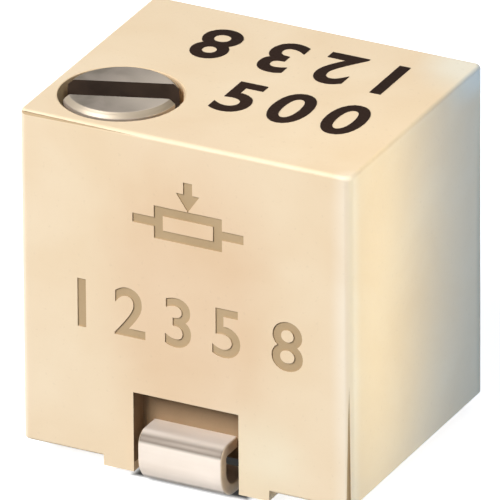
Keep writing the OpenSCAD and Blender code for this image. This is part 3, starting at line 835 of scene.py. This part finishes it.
base_r = CORE_R - ROOT_SINK
thread = grow(mesh_object("thread", [(0, 0, 0)], []), thread_tree, Turns=TURNS, Pitch=PITCH,
              Base_radius=base_r, Height=TIP_R - base_r, Points=POINTS_PER_TURN,
              Base_width=2 * (HALF_AT_PITCH + (PITCH_R - base_r) * FLANK_SLOPE),
              Tip_width=2 * (HALF_AT_PITCH - (TIP_R - PITCH_R) * FLANK_SLOPE),
              Start_turn=math.radians(-180 * (TURNS + 1)), Thinning=THINNING,
              Thinnest=THINNEST, Material=plating)
low_z = min(v.co.z for v in thread.data.vertices)
high_z = max(v.co.z for v in thread.data.vertices)
thread.data.transform(Matrix.Translation(
    (screw_axis.x, screw_axis.y, rotor_axis.z - (low_z + high_z) / 2)))
combine(screw, [thread], "UNION")

# %% [markdown]
# Handing a piece over. Booleans leave long thin triangles, which look blotchy when they are
# shaded smooth. Weighted normals let the large faces set the shading, so that a flat face stays
# flat beside a rounded edge. Then the piece is brought down to metres, rides on its CAD body and
# replaces its node.

# %% Hand over the screw
SHARP_ANGLE = math.radians(35)
SLOPING_FROM, SLOPING_TO = 0.3, 0.95  # how far up a face of the head's slope looks


def hand_over(piece, body, slot, *nodes):
    """Shades a piece, brings it down to metres and joins it to its CAD body."""
    mesh = piece.data
    mesh.polygons.foreach_set("use_smooth", [True] * len(mesh.polygons))
    mesh.set_sharp_from_angle(angle=SHARP_ANGLE)
    weights = piece.modifiers.new("weights", "WEIGHTED_NORMAL")
    weights.keep_sharp = True
    settle(piece)
    piece.data.transform(Matrix.Scale(MM, 4))
    piece.data.update()
    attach(piece, body)
    if nodes:
        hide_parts(*nodes)
    print(piece.name, len(piece.data.polygons), "faces")


def mark_faces(piece, values):
    """Gives each face a value that the material reads as the attribute named edge."""
    piece.data.attributes.new("edge", "FLOAT", "FACE").data.foreach_set("value", values)


slope_low = head_top - SLOPE - SOFT
# The faces of the head's slope are marked for the plating's painted highlight.
rim = [1.0 if face.center.z > slope_low and SLOPING_FROM < face.normal.z < SLOPING_TO else 0.0
       for face in screw.data.polygons]
mark_faces(screw, rim)
print(int(sum(rim)), "faces on the slope of the head")
hand_over(screw, "screw", "screw_metal", "adjusting_screw")

# %% [markdown]
# The leads are cut from strip that is tinned first, so the broad sides are bright and a little
# matt, and the cut sides show the bare, browner metal. A darker band along the upper bend is a
# painted dark reflection, and one under the foot is a painted shadow.

# %% Lead finishes
# Bands of painted shade: a painted dark reflection on the upper bend, a painted shadow under the
# foot.
UPPER_BEND = (0.547, 0.06, 1.5)  # height, reach, outside
FOOT_BEND = (0.055, 0.085, 0.9)
SIDEWAYS = 0.7  # a face that looks more to the side than this is a cut side

lead_metal = metal("tinned_strip", srgb(240, 226, 212), srgb(228, 212, 196), 0.42, (8, 1, 1),
                   metallic=0.25, bend_painted_shade=srgb(112, 98, 84), bends=[UPPER_BEND, FOOT_BEND])
sheared_metal = metal("sheared_strip", srgb(236, 216, 192), srgb(212, 192, 168), 0.6, size_mm=0.05,
                      metallic=0.3)


def bare_sides(lead):
    """Gives the cut sides of a lead, which face left and right, the bare metal."""
    bare = len(lead.data.materials)
    lead.data.materials.append(sheared_metal)
    for face in lead.data.polygons:
        if abs(face.normal.x) > SIDEWAYS:
            face.material_index = bare


print("lead finishes:", lead_metal.name, sheared_metal.name)

# %% [markdown]
# A lead is a flat strip that follows a bent line, which is what Curve to Mesh is for: the tree
# turns the line's edges into a curve and carries a rectangle with eased corners along it.

# %% Strip tree
EDGE_R, CORNER_POINTS = 0.022, 3

strip_tree, given = tree_with("strip", Width=0.6, Thickness=0.13, Edge=0.015, Corner_points=3)
line = add_node(strip_tree, "GeometryNodeMeshToCurve", {"Mesh": given["Geometry"]})[0]
line = add_node(strip_tree, "GeometryNodeSetCurveNormal", {"Curve": line}, mode="MINIMUM_TWIST")[0]
section = add_node(strip_tree, "GeometryNodeCurvePrimitiveQuadrilateral", {
    "Width": given["Width"], "Height": given["Thickness"]}, mode="RECTANGLE")[0]
section = add_node(strip_tree, "GeometryNodeFilletCurve", {
    "Curve": section, "Radius": given["Edge"], "Count": given["Corner_points"]}, mode="POLY")[0]
strip = add_node(strip_tree, "GeometryNodeCurveToMesh", {
    "Curve": line, "Profile Curve": section, "Fill Caps": True})[0]
close_tree(strip_tree, strip, given["Material"])


def strip_along(name, points, width, thickness, x=0.0, side=1):
    """A strip along points (y, z) that lead away from the middle; side is -1 for the front."""
    corners = [(x, side * y, z) for y, z in points]
    edges = [(i, i + 1) for i in range(len(corners) - 1)]
    return grow(mesh_object(name, corners, [], edges), strip_tree, Width=width,
                Thickness=thickness, Edge=EDGE_R, Corner_points=CORNER_POINTS,
                Material=lead_metal)


# %% [markdown]
# The centre line of a lead. Behind the housing wall the strip is bent up to a tab that is
# soldered to the ceramic plate. Outside it turns down and curls inwards, so that it stands on a
# short flat and gives a little when the board bends. The line is made of straight runs and arcs.

# %% Lead centre lines
STRIP_T, FACE_Y, BEND_R, CURL_R, FLAT, CURL_END = 0.13, 1.65, 0.15, 0.32, 0.16, 30


def arc(centre, radius, start, end, count=14):
    """Points (y, z) on an arc between two angles in degrees."""
    angles = [math.radians(start + (end - start) * i / count) for i in range(count + 1)]
    return [(centre[0] + radius * math.cos(a), centre[1] + radius * math.sin(a)) for a in angles]


def tab_line(back_y, top_z):
    """From the top of a tab down and round to the strip's level; the tab's face is at back_y."""
    return [(back_y + STRIP_T / 2, top_z)] + arc(
        (back_y + BEND_R, FLOOR_Z + BEND_R), BEND_R - STRIP_T / 2, 180, 270)


bend_y, curl_y = FACE_Y - BEND_R, FACE_Y - CURL_R
curl_line_r = CURL_R - STRIP_T / 2
hook_line = (arc((bend_y, LEAD_Z - BEND_R), BEND_R - STRIP_T / 2, 90, 0)
             + arc((curl_y, CURL_R), curl_line_r, 0, -90, 20)
             + arc((curl_y - FLAT, CURL_R), curl_line_r, -90, -90 - CURL_END, 8))
print("hook of", len(hook_line), "points")

# %% [markdown]
# The two rear leads are alike. The middle lead is wide outside, for a firm footing, and narrow
# inside, so it is made of two strips that overlap a little and are joined.

# %% Three leads
TAIL_OVERLAP = 0.03

rear_x = rear_high.x / 2 + rear_low.x / 2
for number, x in ((1, -rear_x), (3, rear_x)):
    lead = strip_along(f"lead_{number}", tab_line(rear_low.y, rear_high.z) + hook_line,
                       rear_high.x - rear_low.x, STRIP_T, x)
    bare_sides(lead)
    hand_over(lead, "base", "lead_metal", f"terminal_{number}")
mid_z = (FLOOR_Z + LEAD_Z) / 2
lead = strip_along("lead_2", [(STEP_Y, mid_z)] + hook_line, front_high.x - front_low.x, STRIP_T,
                   side=-1)
tail_line = tab_line(FILM_Y, front_high.z) + [(STEP_Y + TAIL_OVERLAP, mid_z)]
tail = strip_along("lead_2_tail", tail_line, 2 * TAIL_HALF, STRIP_T, side=-1)
combine(lead, [tail], "UNION")
bare_sides(lead)
hand_over(lead, "base", "lead_metal", "terminal_2")

# %% [markdown]
# Digits are drawn with Blender's own font, one by one, so that each can be placed by its middle.
# A text is made a mesh first, and its doubles are merged, because a Boolean needs a closed solid.

# %% Lettering
DIGIT_TALL = 0.73
HALF_DEPTH = 0.5
MERGE = 1e-4


def lettering(name, words, centres, tall, wide, depth, weight):
    """Digits as solids lying in the XY plane, each with its middle at x in centres; tall is their
    height, wide stretches them sideways and weight makes the strokes bolder."""
    shape = bmesh.new()
    for letter, centre in zip(words, centres):
        text = bpy.data.curves.new(name, "FONT")
        text.body = letter
        text.extrude = HALF_DEPTH
        text.offset = weight
        text.resolution_u = 6
        holder = add_object(name, text)
        mesh = bpy.data.meshes.new_from_object(
            holder.evaluated_get(bpy.context.evaluated_depsgraph_get()))
        bpy.data.objects.remove(holder)
        xs = [v.co.x for v in mesh.vertices]
        middle = (min(xs) + max(xs)) / 2
        scale = tall / DIGIT_TALL
        for v in mesh.vertices:
            v.co = ((v.co.x - middle) * scale * wide + centre, (v.co.y - DIGIT_TALL / 2) * scale,
                    v.co.z * depth)
        shape.from_mesh(mesh)
        bpy.data.meshes.remove(mesh)
    bmesh.ops.remove_doubles(shape, verts=shape.verts, dist=MERGE)
    bmesh.ops.dissolve_degenerate(shape, edges=shape.edges, dist=MERGE)
    bmesh.ops.recalc_face_normals(shape, faces=shape.faces)
    mesh = bpy.data.meshes.new(name)
    shape.to_mesh(mesh)
    shape.free()
    print(name, "of", len(words), "digits")
    return add_object(name, mesh)


# %% [markdown]
# The front carries the drawing symbol of a variable resistor and plain digits, cut a hair deep,
# as a laser leaves them: the plastic is browned and dull there. The symbol is a frame of four
# bars with a wire on each side and an arrow from above.

# %% Sunk marks on the front
ETCH, LINE = 0.012, 0.10
NUMBER_Z, NUMBER_CENTRES = 1.865, (-1.16, -0.62, -0.08, 0.46, 1.14)
LEFT, RIGHT, LOW, HIGH = -0.34, 0.42, 2.74, 3.00
WIRE_L, WIRE_LAP, WIRE_Z = 0.24, 0.01, 2.87
ARROW_TIP_Z, ARROW_Z, ARROW_HALF, STEM_LOW_Z, STEM_HIGH_Z = 3.10, 3.29, 0.13, 3.27, 3.42

front_y = body_low.y
side_high = HIGH + LINE / 2
arrow_x = (LEFT + RIGHT) / 2
number_mark = lettering("number_mark", "12358", NUMBER_CENTRES, tall=0.55, wide=1.0,
                        depth=2 * ETCH, weight=0.014)
number_mark.data.transform(Matrix.Translation((0, front_y, NUMBER_Z))
                           @ Matrix.Rotation(math.pi / 2, 4, "X"))
symbol_bars = [((LEFT, LOW), (RIGHT, LOW + LINE)), ((LEFT, HIGH), (RIGHT, HIGH + LINE)),
               ((LEFT, LOW), (LEFT + LINE, side_high)), ((RIGHT - LINE, LOW), (RIGHT, side_high)),
               ((LEFT - WIRE_L, WIRE_Z), (LEFT + WIRE_LAP, WIRE_Z + LINE)),
               ((RIGHT - WIRE_LAP, WIRE_Z), (RIGHT + WIRE_L, WIRE_Z + LINE)),
               ((arrow_x - LINE / 2, STEM_LOW_Z), (arrow_x + LINE / 2, STEM_HIGH_Z))]
marks = [block("bar", (a[0], front_y - ETCH, a[1]), (b[0], front_y + ETCH, b[1]))
         for a, b in symbol_bars]
arrow = [(arrow_x, ARROW_TIP_Z), (arrow_x + ARROW_HALF, ARROW_Z), (arrow_x - ARROW_HALF, ARROW_Z)]
marks.append(mesh_object(
    "arrow", [(x, front_y + side * ETCH, z) for side in (-1, 1) for x, z in arrow],
    [(0, 1, 2), (5, 4, 3), (0, 3, 4, 1), (1, 4, 5, 2), (2, 5, 3, 0)]))
etched_plastic = moulded("etched_mark", srgb(196, 168, 130), srgb(182, 154, 116), 0.62, 0.004)
marks.append(number_mark)
for mark in marks:
    mark.data.materials.append(etched_plastic)
combine(housing, marks)

# %% [markdown]
# The two halves of the mould meet along the upper and the right front edge, and leave a fine line
# that runs out to nothing. Each is cut by a thin pyramid laid on its side: its wide end is where
# the line is deepest, and its tip stands a hair out of the face. The grooves' faces are painted
# darker, as painted shade.

# %% Parting line
GROOVE_OUT, TIP_OUT = 0.02, 0.001  # how far a cutter stands out of the face
TOP_GROOVE_X, TOP_GROOVE_END_X, TOP_GROOVE_IN = -1.86, -0.25, 0.03
TOP_LOW_Z, TOP_HIGH_Z, TOP_DEEP_Z, TOP_TIP_Z = 3.785, 3.855, 3.825, 3.822
SIDE_GROOVE_Z, SIDE_GROOVE_END_Z, SIDE_GROOVE_IN = 0.1, 2.6, 0.045
SIDE_LEFT_X, SIDE_RIGHT_X, SIDE_DEEP_X = 1.775, 1.865, 1.82

seam_painted_shade = moulded("seam_shadow", srgb(196, 170, 132), srgb(180, 152, 114), 0.6, 0.002)


def parting_groove(name, wide_end, thin_end):
    """A groove's cutter: three corners at its wide end, one at its tip."""
    groove = mesh_object(name, wide_end + [thin_end], [(0, 2, 1), (0, 1, 3), (1, 2, 3), (2, 0, 3)])
    shape = bmesh.new()
    shape.from_mesh(groove.data)
    bmesh.ops.recalc_face_normals(shape, faces=shape.faces)
    shape.to_mesh(groove.data)
    shape.free()
    groove.data.materials.append(seam_painted_shade)
    return groove


out_y = front_y - GROOVE_OUT
top_groove = parting_groove("top_groove", [
    (TOP_GROOVE_X, out_y, TOP_LOW_Z), (TOP_GROOVE_X, out_y, TOP_HIGH_Z),
    (TOP_GROOVE_X, front_y + TOP_GROOVE_IN, TOP_DEEP_Z)],
    (TOP_GROOVE_END_X, front_y - TIP_OUT, TOP_TIP_Z))
side_groove = parting_groove("side_groove", [
    (SIDE_LEFT_X, out_y, SIDE_GROOVE_Z), (SIDE_RIGHT_X, out_y, SIDE_GROOVE_Z),
    (SIDE_DEEP_X, front_y + SIDE_GROOVE_IN, SIDE_GROOVE_Z)],
    (SIDE_DEEP_X, front_y - TIP_OUT, SIDE_GROOVE_END_Z))
combine(housing, [top_groove, side_groove])

# %% [markdown]
# The rounded upright edges at the front are marked, and the housing's finish turns the mark into
# a paler line, a painted highlight. A face of such an edge looks out diagonally: the product of
# its normal's x and y is largest there and zero on flat walls.

# %% Painted highlight on the housing's edges
EDGE_REACH = 0.09

edge_highlight = []
shell_low = (body_low.x, body_low.y, UNDER_Z)
for face in housing.data.polygons:
    diagonal = 4 * (face.normal.x * face.normal.y) ** 2
    inside = min(min(c - a, b - c) for c, a, b in zip(face.center, shell_low, body_high))
    edge_highlight.append(diagonal if inside < EDGE_REACH and face.center.y < 0 else 0.0)
mark_faces(housing, edge_highlight)
hand_over(housing, "base", "housing_plastic", "housing")

# %% [markdown]
# The top carries two rows of printed digits, one read from the back and one from the front. Ink
# lies on the plastic as a thin raised layer, so each row is a piece of its own that rides on the
# housing's body.

# %% Printed rows
INK_T, ROW_TALL, ROW_WIDE, ROW_WEIGHT = 0.006, 0.70, 0.92, 0.020

ink = moulded("print_ink", srgb(52, 32, 20), srgb(36, 22, 14), 0.55, 0.002)
rows = [("print_row_1", "1238", (-1.19, -0.59, 0.03, 0.76), 0.70, math.pi),
        ("print_row_2", "500", (0.01, 0.60, 1.20), -0.28, 0.0)]
for name, words, centres, y, turn in rows:
    row = lettering(name, words, centres, ROW_TALL, ROW_WIDE, 2 * INK_T, ROW_WEIGHT)
    row.data.transform(Matrix.Translation((0, y, body_high.z)) @ Matrix.Rotation(turn, 4, "Z"))
    row.data.materials.append(ink)
    hand_over(row, "base", "housing_plastic")
